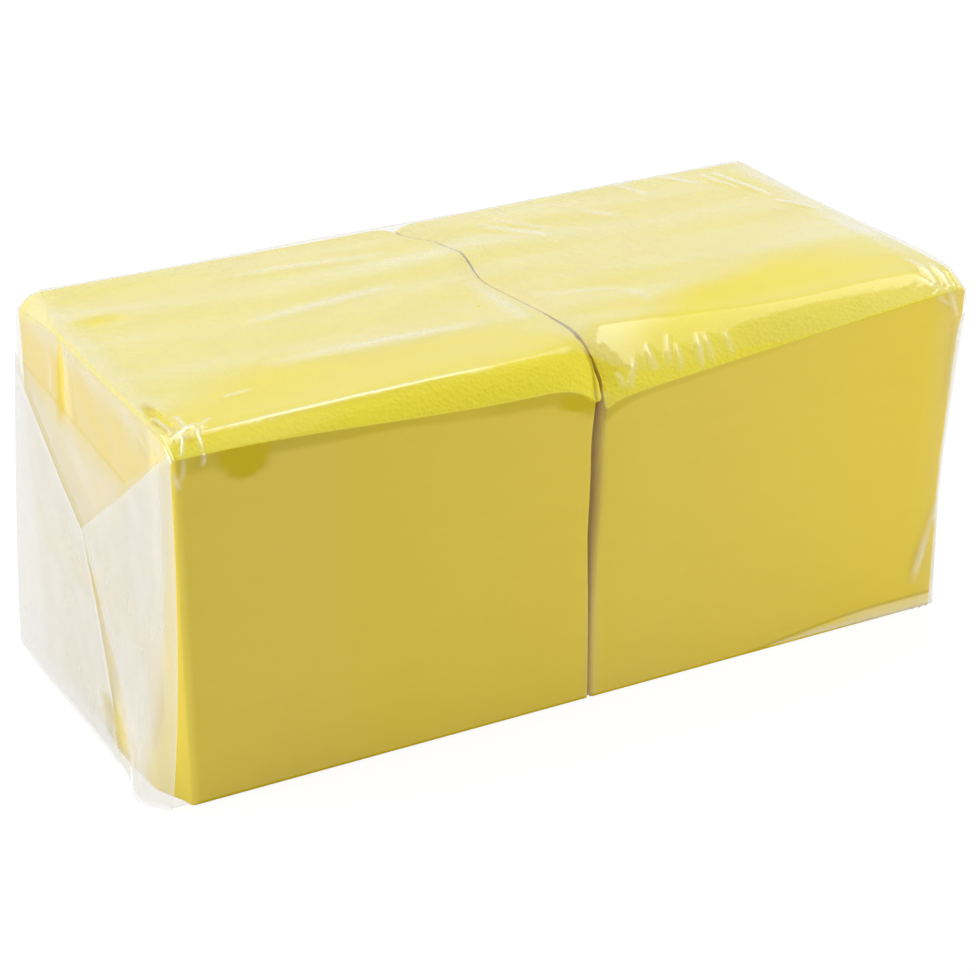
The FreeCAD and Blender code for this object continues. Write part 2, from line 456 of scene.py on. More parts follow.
@dataclass
class NapkinStack:
    """One stack of folded napkins: leaves at the sides, one bent soft napkin on top.

    Attributes:
        side: which of the two stacks it is.
        form: the form that the stacks are pushed into.
        leaves: how many napkins its sides show.
        per_side, per_corner: points of a ring along each side and round each corner.
        corner_radius: radius of its upright corners.
        leaf_groove: depth of the groove between two napkins.
        leaf_drift: spread of how far a napkin lies out of line.
    """

    side: Side
    form: PackForm
    leaves: int = 200
    per_side: int = 43
    per_corner: int = 3
    corner_radius: float = 1.1
    leaf_groove: float = 0.035
    leaf_drift: float = 0.012

    @property
    def name(self) -> str:
        """The CAD node that this stack stands for."""
        return "left_napkins" if self.side is Side.LEFT else "right_napkins"

    def unit_ring(self) -> tuple[Array, Array, Array]:
        """A rounded square of half side 1, run anticlockwise from the middle of no side.

        Returns:
            Its two coordinates and the distance run along it in millimetres.
        """
        half = self.form.half_depth
        radius = self.corner_radius / half
        even = np.linspace(-1.0, 1.0, self.per_side)
        straight = even * (1.25 - 0.25 * even ** 2) * (1.0 - radius)
        turn = np.linspace(0.0, np.pi / 2.0, self.per_corner + 2)[1:-1]
        rows = []
        for quarter in range(4):
            angle = quarter * np.pi / 2.0
            edge = np.stack([straight, np.full_like(straight, -1.0)], -1)
            corner = np.stack([1.0 - radius + radius * np.sin(turn),
                               -1.0 + radius - radius * np.cos(turn)], -1)
            spin = np.array([[np.cos(angle), np.sin(angle)], [-np.sin(angle), np.cos(angle)]])
            rows.append(np.concatenate([edge, corner]) @ spin)
        ring = np.concatenate(rows)
        step = np.linalg.norm(np.diff(ring, axis=0, append=ring[:1]), axis=1) * half
        return ring[:, 0], ring[:, 1], np.concatenate([[0.0], np.cumsum(step)[:-1]])

    def place(self, across: Array, along: Array, z: Array) -> tuple[Array, Array]:
        """Turn unit coordinates at a height into the pack's x and y.

        Args:
            across: from -1 at the left side of the stack to 1 at its right side.
            along: from -1 at the front to 1 at the back.
            z: height.

        Returns:
            x and y in millimetres, between the stack's outer end and the winding slot.
        """
        half = self.form.half_depth
        y = along * half
        line = self.form.slot_line(y, z)
        gap = self.form.slot_width(y, z) / 2.0
        end = self.form.outer_end(self.side, y, z)
        low, high = (end, line - gap) if self.side is Side.LEFT else (line + gap, end)
        return low + (high - low) * (across + 1.0) / 2.0, y

    def side_walls(self, mesh: SheetMesh) -> Array:
        """The four sides, with a groove between every two leaves and leaves out of line.

        Args:
            mesh: the mesh that they are added to.

        Returns:
            Their point numbers, by height and round the stack.
        """
        across, along, run = self.unit_ring()
        seed = 11 if self.side is Side.LEFT else 12
        draw = np.random.default_rng(seed)
        levels = np.arange(2 * self.leaves + 1)
        share = levels[:, None] / levels[-1]
        x_edge, y_edge = self.place(across, along, np.float64(self.form.top))
        edge_top = self.form.paper_top(x_edge, y_edge)[None, :]
        edge_foot = self.form.paper_foot(x_edge, y_edge)[None, :]
        z = edge_foot + share * (edge_top - edge_foot)
        x, y = self.place(across[None, :], along[None, :], z)
        drift = np.convolve(draw.normal(0.0, 1.0, self.leaves + 8), np.hanning(9), "valid")
        shift = np.repeat(self.leaf_drift * drift, 2)
        shift = np.append(shift, shift[-1])[:, None]
        groove = np.where(levels % 2 == 0, -self.leaf_groove, 0.0)[:, None]
        groove[-1] = 0.0
        loose = Ripples(seed + 10, 30.0, 110.0, stretch=1.6).at(run[None, :], z)
        swell = 0.12 * np.sin(np.pi * share) + 0.06 * loose
        out = (swell * np.minimum(1.0, 9.0 * (1.0 - share)) * np.minimum(1.0, 14.0 * share)
               + groove + shift)
        normal_x, normal_y = self.outward(across, along)
        slot_side = normal_x * -self.side.value > 0.5
        out = np.where(slot_side[None, :], 0.3 * out, out)
        x, y = x + normal_x * out, y + normal_y * out
        # The tone paints shade and light on the sides, and deepens their colour where the film
        # clings.
        return mesh.add_grid(x, y, z, (run[None, :], z - edge_top), around=True, top_sheet=0.0,
                             tone=self.form.painted_light_shade_and_cling(x, y, z, edge_top))

    def outward(self, across: Array, along: Array) -> tuple[Array, Array]:
        """Outward directions of the rounded square, mostly along the larger coordinate.

        Args:
            across, along: unit coordinates of the ring's points.

        Returns:
            The x and y of a unit direction at each point.
        """
        sharp = 24.0
        weight_x = np.sign(across) * np.abs(across) ** sharp
        weight_y = np.sign(along) * np.abs(along) ** sharp
        length = np.hypot(weight_x, weight_y)
        return weight_x / length, weight_y / length

    def caps(self, mesh: SheetMesh, walls: Array) -> None:
        """The top napkin and the underside: the same ring drawn in towards the middle.

        Args:
            mesh: the mesh that they are added to.
            walls: point numbers of the sides.
        """
        across, along, run = self.unit_ring()
        half = self.form.half_depth
        inset = np.concatenate([[0.12, 0.35, 0.7], np.arange(1.1, 4.0, 0.35),
                                np.arange(4.4, 15.0, 0.8), np.arange(15.5, half - 1.0, 2.6)])
        scale = (1.0 - inset / half)[:, None]
        x, y = self.place(across * scale, along * scale, np.float64(self.form.top))
        rim = 0.3 * (1.0 - np.sqrt(1.0 - np.clip(1.0 - inset[:, None] / 0.7, 0.0, 1.0) ** 2))
        tissue = Ripples(31 + self.side.value, 5.0, 30.0).at(x, y)
        from_slot = self.form.slot_on_top(y) - x
        middle = smooth(-30.0, -20.0, y) * (1.0 - smooth(6.0, 14.0, y))
        rim = rim * (1.0 - 0.95 * middle * hill(0.0, 5.0, from_slot))
        z = self.form.paper_top(x, y) - rim + 0.06 * tissue * np.minimum(1.0, inset[:, None] / 4.0)
        # Painted shade along the groove beside the slot near the front and at the crumples of the
        # near left corner, and painted light along the closed middle of the slot.
        groove_and_crumple_shade = hill(2.6, 0.7, from_slot)
        groove_and_crumple_shade = groove_and_crumple_shade * (1.0 - smooth(8.0, 13.0, y - self.form.front))
        for dent_x, dent_y, wide in CRUMPLE_SHADES:
            groove_and_crumple_shade = np.maximum(groove_and_crumple_shade, hill(0.0, wide, np.hypot(x - dent_x, 0.6 * (y - dent_y))))
        grid = mesh.add_grid(x, y, z, (run[None, :], inset[:, None]), around=True, top_sheet=1.0,
                             tone=hill(0.0, 1.3, from_slot) * middle - 0.9 * groove_and_crumple_shade)
        mesh.join(walls[-1], grid[0])
        mesh.close_ring(grid[-1])
        low = np.array([2.0, 8.0, 16.0, 28.0, 42.0, half - 2.0])
        scale = (1.0 - low / half)[:, None]
        x, y = self.place(across * scale, along * scale, np.float64(self.form.foot))
        below = -200.0
        base = mesh.add_grid(x, y, self.form.paper_foot(x, y), (run[None, :], below - low[:, None]),
                             around=True, flip=True, top_sheet=0.0, tone=0.0)
        mesh.join(base[0], walls[0])
        mesh.close_ring(base[-1], flip=True)

    def build(self, finish: "TissueFinish") -> bpy.types.Object:
        """Make the stack, dress it and put it in the place of its CAD node.

        Args:
            finish: the tissue's finish.

        Returns:
            The stack.
        """
        mesh = SheetMesh()
        walls = self.side_walls(mesh)
        self.caps(mesh, walls)
        piece = mesh.build(f"{self.name}_soft")
        piece.data.materials.append(finish.material())
        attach(piece, "root")
        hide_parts(self.name)
        LOG.info("%s: %d faces", piece.name, len(piece.data.polygons))
        return piece


class Face(Enum):
    """The faces of the film, by the two axes that a place on each is given in."""

    TOP = "x, y"
    FRONT = "x, z"
    LEFT_END = "y, z on the left"
    RIGHT_END = "y, z on the right"


@dataclass(frozen=True)
class Crease:
    """One sharp fold that stands out of the film, between two places of a face.

    Attributes:
        face: the face that it lies on.
        start, end: its two ends, in the face's two axes.
        height, width: how far it stands out, and half its breadth.
    """

    face: Face
    start: tuple[float, float]
    end: tuple[float, float]
    height: float = 0.4
    width: float = 0.8

    def amount(self, first: Array, second: Array) -> Array:
        """Its height at places of its face: a bell across it times sqrt(4 t (1 - t)) along it.

        Args:
            first, second: the places, in the face's two axes.

        Returns:
            How far it stands out there.
        """
        start = np.array(self.start)
        run = np.array(self.end) - start
        away = np.stack(np.broadcast_arrays(first, second), -1) - start
        along = np.clip(away @ run / (run @ run), 0.0, 1.0)
        off = np.linalg.norm(away - along[..., None] * run, axis=-1)
        return self.height * hill(0.0, self.width, off) * np.sqrt(4.0 * along * (1.0 - along))


@dataclass(frozen=True)
class Contact:
    """An oval patch where the film clings to the napkins and so looks clear.

    Attributes:
        face: the face that it lies on.
        middle, radii: its middle and its two radii, in the face's two axes.
        turn: how far it is turned, in degrees.
        cling: how closely the film clings at its middle, up to 1.
        soft: the share of the radii at which it starts to fade.
    """

    face: Face
    middle: tuple[float, float]
    radii: tuple[float, float]
    turn: float = 0.0
    cling: float = 1.0
    soft: float = 0.7

    def amount(self, first: Array, second: Array) -> Array:
        """How closely the film clings at places of its face.

        Args:
            first, second: the places, in the face's two axes.

        Returns:
            The cling there, from 0 to 1.
        """
        turn = math.radians(self.turn)
        one, two = first - self.middle[0], second - self.middle[1]
        along = (one * math.cos(turn) + two * math.sin(turn)) / self.radii[0]
        across = (two * math.cos(turn) - one * math.sin(turn)) / self.radii[1]
        return self.cling * (1.0 - smooth(self.soft, 1.1, np.hypot(along, across)))


# The sharp folds of the film, where the photograph shows them or as they would lie out of sight.
CREASES = (
    Crease(Face.TOP, (-110.0, -53.0), (-22.0, -51.0), 0.55, 0.6),
    Crease(Face.TOP, (-79.0, -24.4), (-9.0, -24.8), 0.28, 2.6),
    Crease(Face.TOP, (-70.0, 6.0), (-20.0, 12.0), 0.25, 2.4),
    Crease(Face.TOP, (-60.0, 41.0), (-12.0, 36.0), 0.25, 1.8),
    Crease(Face.TOP, (111.8, 51.9), (116.7, 23.9), 0.55, 0.9),
    Crease(Face.TOP, (107.0, 53.0), (112.0, 34.0), 0.4, 0.8),
    Crease(Face.TOP, (115.5, 20.4), (122.5, 8.6), 0.5, 0.8),
    Crease(Face.TOP, (78.0, 56.5), (82.7, 42.0), 0.3, 1.2),
    Crease(Face.TOP, (94.0, 57.0), (102.9, 43.7), 0.3, 1.2),
    Crease(Face.TOP, (22.3, 44.2), (38.6, 25.9), 0.28, 1.7),
    Crease(Face.TOP, (28.0, 46.0), (42.0, 31.0), 0.2, 1.5),
    Crease(Face.TOP, (56.6, 38.7), (66.2, 30.6), 0.25, 1.7),
    Crease(Face.TOP, (8.7, -13.3), (37.0, -19.5), 0.14, 2.4),
    Crease(Face.TOP, (37.0, -20.6), (38.7, -34.5), 0.14, 2.0),
    Crease(Face.TOP, (-0.6, 4.6), (0.1, -29.0), 0.25, 2.6),
    Crease(Face.TOP, (-96.2, -37.3), (-86.9, -35.6), 0.28, 1.0),
    Crease(Face.TOP, (15.6, -57.6), (14.9, -53.6), 0.40, 0.95),
    Crease(Face.TOP, (17.0, -57.8), (21.7, -51.8), 0.40, 0.95),
    Crease(Face.TOP, (26.4, -56.2), (26.2, -49.1), 0.44, 0.95),
    Crease(Face.TOP, (30.6, -55.7), (34.0, -48.5), 0.40, 0.95),
    Crease(Face.TOP, (33.8, -57.6), (35.4, -51.4), 0.36, 0.85),
    Crease(Face.TOP, (40.2, -58.2), (42.4, -50.6), 0.48, 0.95),
    Crease(Face.TOP, (44.0, -58.2), (44.6, -51.0), 0.36, 0.85),
    Crease(Face.TOP, (50.5, -58.0), (51.0, -52.4), 0.32, 0.95),
    Crease(Face.TOP, (-107.9, -48.9), (-117.5, -53.2), 0.6, 0.6),
    Crease(Face.TOP, (-109.6, -50.0), (-110.6, -58.4), 0.6, 0.6),
    Crease(Face.TOP, (-111.8, -42.6), (-112.3, -52.0), 0.5, 0.6),
    Crease(Face.TOP, (-117.2, -40.2), (-116.1, -51.2), 0.5, 0.6),
    Crease(Face.TOP, (-114.0, -52.4), (-116.5, -58.4), 0.6, 0.6),
    Crease(Face.TOP, (-104.0, -47.0), (-111.0, -54.0), 0.4, 0.5),
    Crease(Face.TOP, (120.3, -41.9), (121.9, -56.2), 0.55, 0.7),
    Crease(Face.TOP, (124.5, -47.0), (125.5, -58.0), 0.5, 0.6),
    Crease(Face.TOP, (117.4, -52.6), (122.0, -58.2), 0.5, 0.6),
    Crease(Face.FRONT, (-110.5, 106.0), (-111.3, 101.0), 0.6, 0.6),
    Crease(Face.FRONT, (-116.4, 104.5), (-117.4, 98.0), 0.5, 0.6),
    Crease(Face.FRONT, (-119.9, 101.4), (-118.0, 95.7), 0.6, 0.7),
    Crease(Face.FRONT, (123.5, 106.0), (127.5, 96.0), 0.6, 0.7),
    Crease(Face.FRONT, (119.5, 104.0), (125.0, 100.0), 0.5, 0.6),
    Crease(Face.FRONT, (128.6, 96.0), (126.6, 70.0), 0.6, 1.2),
    Crease(Face.FRONT, (125.4, 36.0), (122.4, 26.0), 0.6, 1.0),
    Crease(Face.FRONT, (122.6, 27.0), (118.2, 11.0), 0.7, 1.3),
    Crease(Face.LEFT_END, (30.0, 104.0), (26.2, 84.5), 0.35, 0.8),
    Crease(Face.LEFT_END, (17.4, 106.0), (10.3, 83.9), 0.3, 0.8),
    Crease(Face.LEFT_END, (22.5, 106.0), (21.5, 83.5), 0.3, 0.7),
    Crease(Face.LEFT_END, (-36.2, 104.6), (-46.2, 99.7), 0.4, 0.7),
    Crease(Face.LEFT_END, (-43.0, 105.5), (-51.0, 99.0), 0.5, 0.6),
    Crease(Face.LEFT_END, (-50.0, 105.0), (-56.0, 97.0), 0.5, 0.6),
    Crease(Face.LEFT_END, (45.7, 5.8), (48.5, 14.7), 0.5, 0.6),
    Crease(Face.LEFT_END, (-10.0, 15.0), (-40.0, 1.5), 0.4, 1.0),
    Crease(Face.RIGHT_END, (-24.0, 104.0), (-18.0, 84.5), 0.35, 0.8),
    Crease(Face.RIGHT_END, (20.0, 105.0), (14.0, 82.5), 0.35, 0.8),
    Crease(Face.RIGHT_END, (36.0, 104.6), (50.0, 98.7), 0.45, 0.7),
)

# Where the film lies close on the napkins.
CONTACTS = (
    Contact(Face.FRONT, (-99.4, 102.5), (7.8, 8.0), 0.0, 1.0, 0.85),
    Contact(Face.FRONT, (0.0, 95.2), (8.0, 3.2), -14.0),
    Contact(Face.LEFT_END, (-23.0, 9.5), (13.0, 5.6), 25.0, 0.62, 0.6),
    Contact(Face.LEFT_END, (-41.5, 8.0), (9.5, 1.6), 47.0, 0.7, 0.5),
    Contact(Face.LEFT_END, (21.8, 95.0), (2.9, 14.0), -3.0, 0.75),
    Contact(Face.TOP, (-106.0, 27.5), (11.0, 4.6), 3.0, 0.6, 0.1),
    Contact(Face.TOP, (-116.2, -42.0), (2.8, 13.0), 0.0, 0.85, 0.5),
    Contact(Face.TOP, (113.0, 41.0), (10.0, 14.0), 10.0, 0.4, 0.1),
    Contact(Face.RIGHT_END, (12.0, 12.0), (20.0, 7.0), 10.0, 0.7),
)


class Panel(IntEnum):
    """The runs of the tube's section, in order from one edge of the sheet to the other."""

    FRONT_FOOT = 0
    FRONT = 1
    TOP = 2
    BACK = 3
    BACK_FOOT = 4


@dataclass
class FilmWrap:
    """The one sheet of clear film: a lapped tube round both stacks with folded ends.

    Attributes:
        form: the form of the napkins inside.
        columns: rows of points along the pack.
        clearance: how far the film stands off the napkins at the front, the back and the top.
        half_lap: how far each edge of the sheet reaches past the middle of the underside.
        foot_level: height of the film under the pack.
        flat_round, flat_along: the flat sheet's two sides, in metres.
    """

    form: PackForm
    columns: int = 268
    clearance: float = 0.45
    half_lap: float = 12.0
    foot_level: float = 0.15
    flat_round: float = 0.47
    flat_along: float = 0.375

    def end_line(self, side: Side, y: Array, z: Array) -> Array:
        """Where the film turns over one end: close to the napkins on top, loose at the foot.

        Args:
            side: the end.
            y, z: places on it.

        Returns:
            The film's x there.
        """
        high = np.clip(z / self.form.top, 0.0, 1.0)
        if side is Side.LEFT:
            at_front = 0.3 + 4.9 * (1.0 - high) ** 3
            at_back = 6.6 * (1.0 - high ** 1.3)
            share = smooth(self.form.front, self.form.back, y)
            belly = 2.2 * (1.0 - high) ** 2 * np.clip(1.0 - (y / self.form.back) ** 6, 0.0, 1.0)
            ear = 3.6 * hill(-51.0, 15.0, y) * smooth(-59.0, -49.0, y) * (1.0 - high) ** 5
            return self.form.left - 0.5 - at_front - (at_back - at_front) * share - belly - ear
        return self.form.outer_end(side, y, z) + 0.18

    def over_top(self, x: Array, y: Array) -> Array:
        """Height of the film over the top: it spans the slot and hugs the pushed-down front strip.

        Args:
            x, y: places on the top.

        Returns:
            The height there.
        """
        form = self.form
        line = form.slot_on_top(form.front)
        span = 9.0
        share = smooth(line - span, line + span, x)
        west, east = np.minimum(x, line - span), np.maximum(x, line + span)
        drop = form.front_drop(west) * (1.0 - share) + form.front_drop(east) * share
        reach = form.front_reach(west) * (1.0 - share) + form.front_reach(east) * share
        fall = bend(drop, reach, y - form.front) + bend(0.3, 2.0, form.back - y)
        puff = 1.3 * hill(112.0, 24.0, x) * hill(-34.0, 24.0, y)
        return np.maximum(form.top + self.clearance + puff - fall, form.paper_top(x, y) + 0.15)

    def strip(self, x: Array) -> Array:
        """How far in from the front edge the film clings to the top napkins."""
        return through(((-119.0, 4.4), (-107.0, 5.4), (-75.0, 6.2), (-30.0, 6.6), (-3.0, 7.8),
                        (6.0, 8.4), (14.0, 6.8), (22.0, 4.6), (31.0, 3.2), (50.0, 2.4),
                        (72.0, 1.2), (92.0, -1.0), (126.0, -2.0)), x)

    def near_line(self, x: Array) -> Array:
        """The y behind which the film stands fully off the top napkins."""
        return through(((-119.0, -36.0), (-95.0, -28.0), (-77.0, -24.7), (-12.0, -24.4),
                        (0.0, -33.0), (9.0, -50.0), (14.0, -52.0), (35.5, -40.0), (57.4, -29.0),
                        (93.0, -20.4), (125.0, -20.0)), x)

    def places(self) -> Array:
        """Shares along the pack's length, closest together at its ends and beside the slot.

        Returns:
            The shares, from 0 at the left end to 1 at the right end.
        """
        share = np.linspace(0.0, 1.0, 3000)
        x = self.form.left + (self.form.right - self.form.left) * share
        dense = 0.65 + 1.5 * hill(self.form.left, 12.0, x) + 1.2 * hill(self.form.right, 9.0, x)
        run = np.cumsum(dense + 0.75 * hill(30.0, 24.0, x))
        return np.interp(np.linspace(run[0], run[-1], self.columns), run, share)

    def from_ends(self, x: Array) -> Array:
        """Distance from the nearer end of the tube."""
        return np.minimum(x - self.form.left, self.form.right + 3.0 - x)

    def tube_end(self, side: Side, y: Array, z: Array, part: Array) -> Array:
        """Where the tube ends: on the end's edge, drawn in where the top edge is rounded.

        Args:
            side: the end.
            y, z: places on the tube's section.
            part: the panel that each place belongs to.

        Returns:
            The x of the tube's end there.
        """
        radius = self.form.end_radius(side, y)
        upright = arc(radius, self.form.top - z) * ((part == Panel.FRONT) | (part == Panel.BACK))
        drawn_in = np.where(part == Panel.TOP, radius, upright)
        return self.end_line(side, y, z) - side.value * drawn_in

    def section(self) -> tuple[Array, Array, Array]:
        """The tube's section, from the lap round the foot, front, top and back to the lap again.

        Returns:
            The y of each of its points, the level from 0 at the foot to 1 at the top, and the
            panel that the point belongs to.
        """
        front, back = self.form.front - self.clearance, self.form.back + self.clearance
        corner = 0.7
        rise = np.concatenate([np.linspace(0.0, 0.05, 5), np.linspace(0.05, 0.86, 28)[1:],
                               np.linspace(0.86, 1.0, 26)[1:]])
        over = np.concatenate([np.linspace(0.0, 0.2, 44)[1:], np.linspace(0.2, 0.9, 66)[1:],
                               np.linspace(0.9, 1.0, 14)[1:]])
        fall = np.concatenate([np.linspace(1.0, 0.93, 9)[1:], np.linspace(0.93, 0.0, 22)[1:]])
        foot = np.linspace(0.0, 1.0, 9)
        y = (self.half_lap + (front + corner - self.half_lap) * foot, np.full(len(rise), front),
             front + (back - front) * over, np.full(len(fall), back),
             (back - corner) + (corner - self.half_lap - back) * foot)
        level = (np.zeros(len(foot)), rise, np.ones(len(over)), fall, np.zeros(len(foot)))
        part = np.repeat(list(Panel), [len(run) for run in level])
        return np.concatenate(y), np.concatenate(level), part

    def build_tube(self, mesh: SheetMesh) -> None:
        """The tube: its section carried from end to end, laid on the napkins and creased."""
        form, low = self.form, self.foot_level
        y, level, part = (row[None, :] for row in self.section())
        x_left, x_right = (self.tube_end(side, y, level * form.top, part) for side in Side)
        x = x_left + (x_right - x_left) * self.places()[:, None]
        y, part = (np.broadcast_to(row, x.shape).copy() for row in (y, part))
        edge = np.where(part == Panel.FRONT, form.front, form.back)
        over_lap = 0.3 * (1.0 - smooth(self.half_lap + 1.0, 2.0 * self.half_lap, np.abs(y)))
        z = np.where(part == Panel.TOP, self.over_top(x, y),
                     low + level * (self.over_top(x, edge) - low))
        z = np.where(part == Panel.FRONT_FOOT, low, z)
        z = np.where(part == Panel.BACK_FOOT, low + over_lap, z)
        y = y - 1.3 * smooth(70.0, 122.0, x) * (1.0 - smooth(0.0, 9.0, z)) * (part == Panel.FRONT)
        for _ in range(3):
            for line in (y, z):
                line[:, 1:-1] = 0.25 * line[:, :-2] + 0.5 * line[:, 1:-1] + 0.25 * line[:, 2:]
        inward = y - (form.front - self.clearance)
        creased = self.creased(x, y, z, part)
        cling = self.cling(x, y, z, part) * (1.0 - np.clip(1.6 * creased, 0.0, 0.9))
        run = np.cumsum(np.hypot(np.diff(y, axis=1, prepend=y[:, :1]),
                                 np.diff(z, axis=1, prepend=z[:, :1])), axis=1)
        lift = self.lift(x, y, z, run, part, cling) + creased
        run_y, run_z = np.gradient(y, axis=1), np.gradient(z, axis=1)
        length = np.maximum(np.hypot(run_y, run_z), 1e-6)
        y, z = y - run_z / length * lift, np.maximum(z + run_y / length * lift, 0.0)
        mesh.add_grid(x, y, z, (x, run), cling=cling,
                      folds=self.thickness(x, inward, z, part, creased))

    def thickness(self, x: Array, inward: Array, z: Array, part: Array, creased: Array) -> Array:
        """How many films thick the tube looks: more on creases, at its ends and in its lip.

        Args:
            x, z: places on the tube.
            inward: distance of each place from the front.
            part: the panel that each place belongs to.
            creased: how far the creases stand out there.

        Returns:
            The number of thicknesses, from 1.
        """
        top, front = part == Panel.TOP, part == Panel.FRONT
        turned = 0.6 * top * (1.0 - smooth(2.0, 9.0, self.from_ends(x)))
        bent = 0.55 * top * smooth(45.0, 95.0, x) * (1.0 - smooth(8.0, 22.0, inward))
        lip = self.form.lip(x)
        doubled = 1.5 * front * smooth(0.5, 2.5, lip) * (1.0 - smooth(-0.7, 0.1, z - lip))
        return 1.0 + np.clip(3.0 * creased, 0.0, 2.0) + turned + bent + doubled

    def cling(self, x: Array, y: Array, z: Array, part: Array) -> Array:
        """How closely the film clings to the napkins.

        Args:
            x, y, z: places on the tube.
            part: the panel that each place belongs to.

        Returns:
            The cling there, from 0 to 1.
        """
        form = self.form
        drift = Ripples(71, 22.0, 80.0, stretch=1.6).at(x, y)
        inward = y - form.front
        ragged = Ripples(72, 1.2, 5.0, waves=30).at(x, y)
        width = self.strip(x) + 0.3 * drift + 0.25 * ragged
        strip = 1.0 - smooth(0.0, 1.0, (inward - width + 0.7) / 1.4)
        close = 0.45 + 0.27 * smooth(12.0, 32.0, x) - 0.3 * smooth(80.0, 118.0, x)
        close = close + 0.14 * hill(26.0, 20.0, x)
        near = close * (1.0 - smooth(-9.0, 8.0, y - self.near_line(x) - 1.2 * drift))
        top = np.clip(np.maximum(strip, near) + 0.06 * drift, 0.0, 1.0)
        front = 0.84 + 0.04 * drift - 0.55 * smooth(116.0, 129.0, x)
        front = front - 0.7 * smooth(50.0, 66.0, x) * (1.0 - smooth(-0.6, 0.3, z - form.lip(x)))
        veil = 0.6 - 0.3 * smooth(20.0, 60.0, z)
        front = front - veil * hill(0.0, 2.0, x - form.slot_line(y, z))
        cling = np.where(part == Panel.TOP, top, np.where(part == Panel.FRONT, front, 0.5))
        for contact in CONTACTS:
            if contact.face is Face.TOP:
                cling = np.maximum(cling, contact.amount(x, y) * (part == Panel.TOP))
            if contact.face is Face.FRONT:
                cling = np.maximum(cling, contact.amount(x, z) * (part == Panel.FRONT))
        return np.clip(cling, 0.0, 1.0)

    def creased(self, x: Array, y: Array, z: Array, part: Array) -> Array:
        """How far the sharp creases of the tube's top and front stand out.

        Args:
            x, y, z: places on the tube.
            part: the panel that each place belongs to.

        Returns:
            The creases' height there.
        """
        on_panel = {Face.TOP: (y, part == Panel.TOP), Face.FRONT: (z, part == Panel.FRONT)}
        creased = np.zeros_like(x)
        for crease in CREASES:
            if crease.face in on_panel:
                second, here = on_panel[crease.face]
                creased = creased + crease.amount(x, second) * here
        return creased

    def lift(self, x: Array, y: Array, z: Array, run: Array, part: Array, cling: Array) -> Array:
        """How far the tube stands off its even surface: slow tension bands and corner knots.

        Args:
            x, y, z: places on the tube.
            run: distance of each place round the section.
            part: the panel that each place belongs to.
            cling: how closely the film clings there.

        Returns:
            The lift there, never below 0.
        """
        bands = Ripples(81, 16.0, 55.0, stretch=4.0).at(x, run)
        crinkle = Ripples(82, 4.0, 14.0, waves=30).creases(x, run)
        loose = (1.0 - cling) * (0.15 + 0.85 * smooth(0.0, 7.0, self.from_ends(x)))
        waves = (0.16 * bands + 0.12 * crinkle) * np.where(part == Panel.TOP, 1.0, 0.4)
        lift = (0.2 + waves) * loose
        inward = y - self.form.front
        knots = sum(hill(0.0, 9.0, np.sqrt((x - knot_x) ** 2 + inward ** 2 + (z - knot_z) ** 2))
                    for knot_x, knot_z in ((-119.0, 103.0), (126.0, 100.0), (126.0, 3.0)))
        lift = lift + 0.7 * knots * Ripples(83, 2.4, 8.0, waves=30).creases(x, run)
        return np.maximum(lift, 0.0)

    def end_panel(self, mesh: SheetMesh, side: Side, y: Array, z: Array, layer: float,
                  folds: Any, edge: Array, over: Array | None = None) -> None:
        """Add one layer of a folded end from its places in the end's plane.

        Args:
            mesh: the mesh that it is added to.
            side: the end that it lies on.
            y, z: places of its grid.
            layer: how many layers lie under it.
            folds: how many thicknesses of film it stands for.
            edge: distance from its nearest free edge, in millimetres.
            over: how far in from the end each point lies where it turns over the top.
        """
        soft = Ripples(200 + side.value, 14.0, 60.0).at(y, z)
        crinkle = Ripples(210 + side.value, 8.0, 24.0, waves=26).creases(y, z)
        face = Face.LEFT_END if side is Side.LEFT else Face.RIGHT_END
        between, rough = (0.2, 1.0) if side is Side.LEFT else (0.07, 0.4)
        lift = between * (0.7 + layer) + rough * (0.06 * soft + 0.04 * crinkle)
        lift = lift + 0.25 * rough * hill(0.0, 0.8, edge)
        cling = np.zeros_like(y)
        for crease in CREASES:
            if crease.face is face:
                lift = lift + crease.amount(y, z)
        for contact in CONTACTS:
            if contact.face is face:
                cling = np.maximum(cling, contact.amount(y, z))
        lift = lift * smooth(-0.9, 6.6, self.form.back - np.abs(y)) + 0.03 * layer
        out = np.maximum(lift, 0.05)
        if over is not None:
            out = out * (over <= 0.0) - over
        x = self.end_line(side, y, z) + side.value * out
        mesh.add_grid(x, y, z, (y + 300.0 * side.value, z), cling=cling, folds=folds,
                      flip=side is Side.LEFT)

    def flap(self, mesh: SheetMesh, side: Side, corners: tuple[tuple[float, float], ...],
             layer: float, folds: float, crisp: float) -> None:
        """One flap between four corners: two of its root and then two of its tip.

        Args:
            mesh: the mesh that it is added to.
            side: the end that it lies on.
            corners: the places of its corners.
            layer: how many layers lie under it.
            folds: how many thicknesses of film it stands for.
            crisp: 1 if its free edges show sharply, less if they fade.
        """
        count = 40 if side is Side.LEFT else 24
        u = np.linspace(0.0, 1.0, count)[None, :, None]
        v = np.linspace(0.0, 1.0, count)[:, None, None]
        root_a, root_b, tip_a, tip_b = (np.array(c) for c in corners)
        flat = (root_a * (1 - u) + root_b * u) * (1 - v) + (tip_a * (1 - u) + tip_b * u) * v
        wide = np.linalg.norm(root_b - root_a) * (1 - v) + np.linalg.norm(tip_b - tip_a) * v
        edge = np.minimum(np.minimum(u, 1 - u) * wide, (1 - v) * np.linalg.norm(tip_a - root_a))
        edge = np.broadcast_to(edge[..., 0], flat.shape[:2])
        faded = folds * (crisp + (1.0 - crisp) * smooth(0.0, 9.0, edge))
        self.end_panel(mesh, side, flat[..., 0], flat[..., 1], layer, faded,
                       edge + 4.0 * (1.0 - crisp))

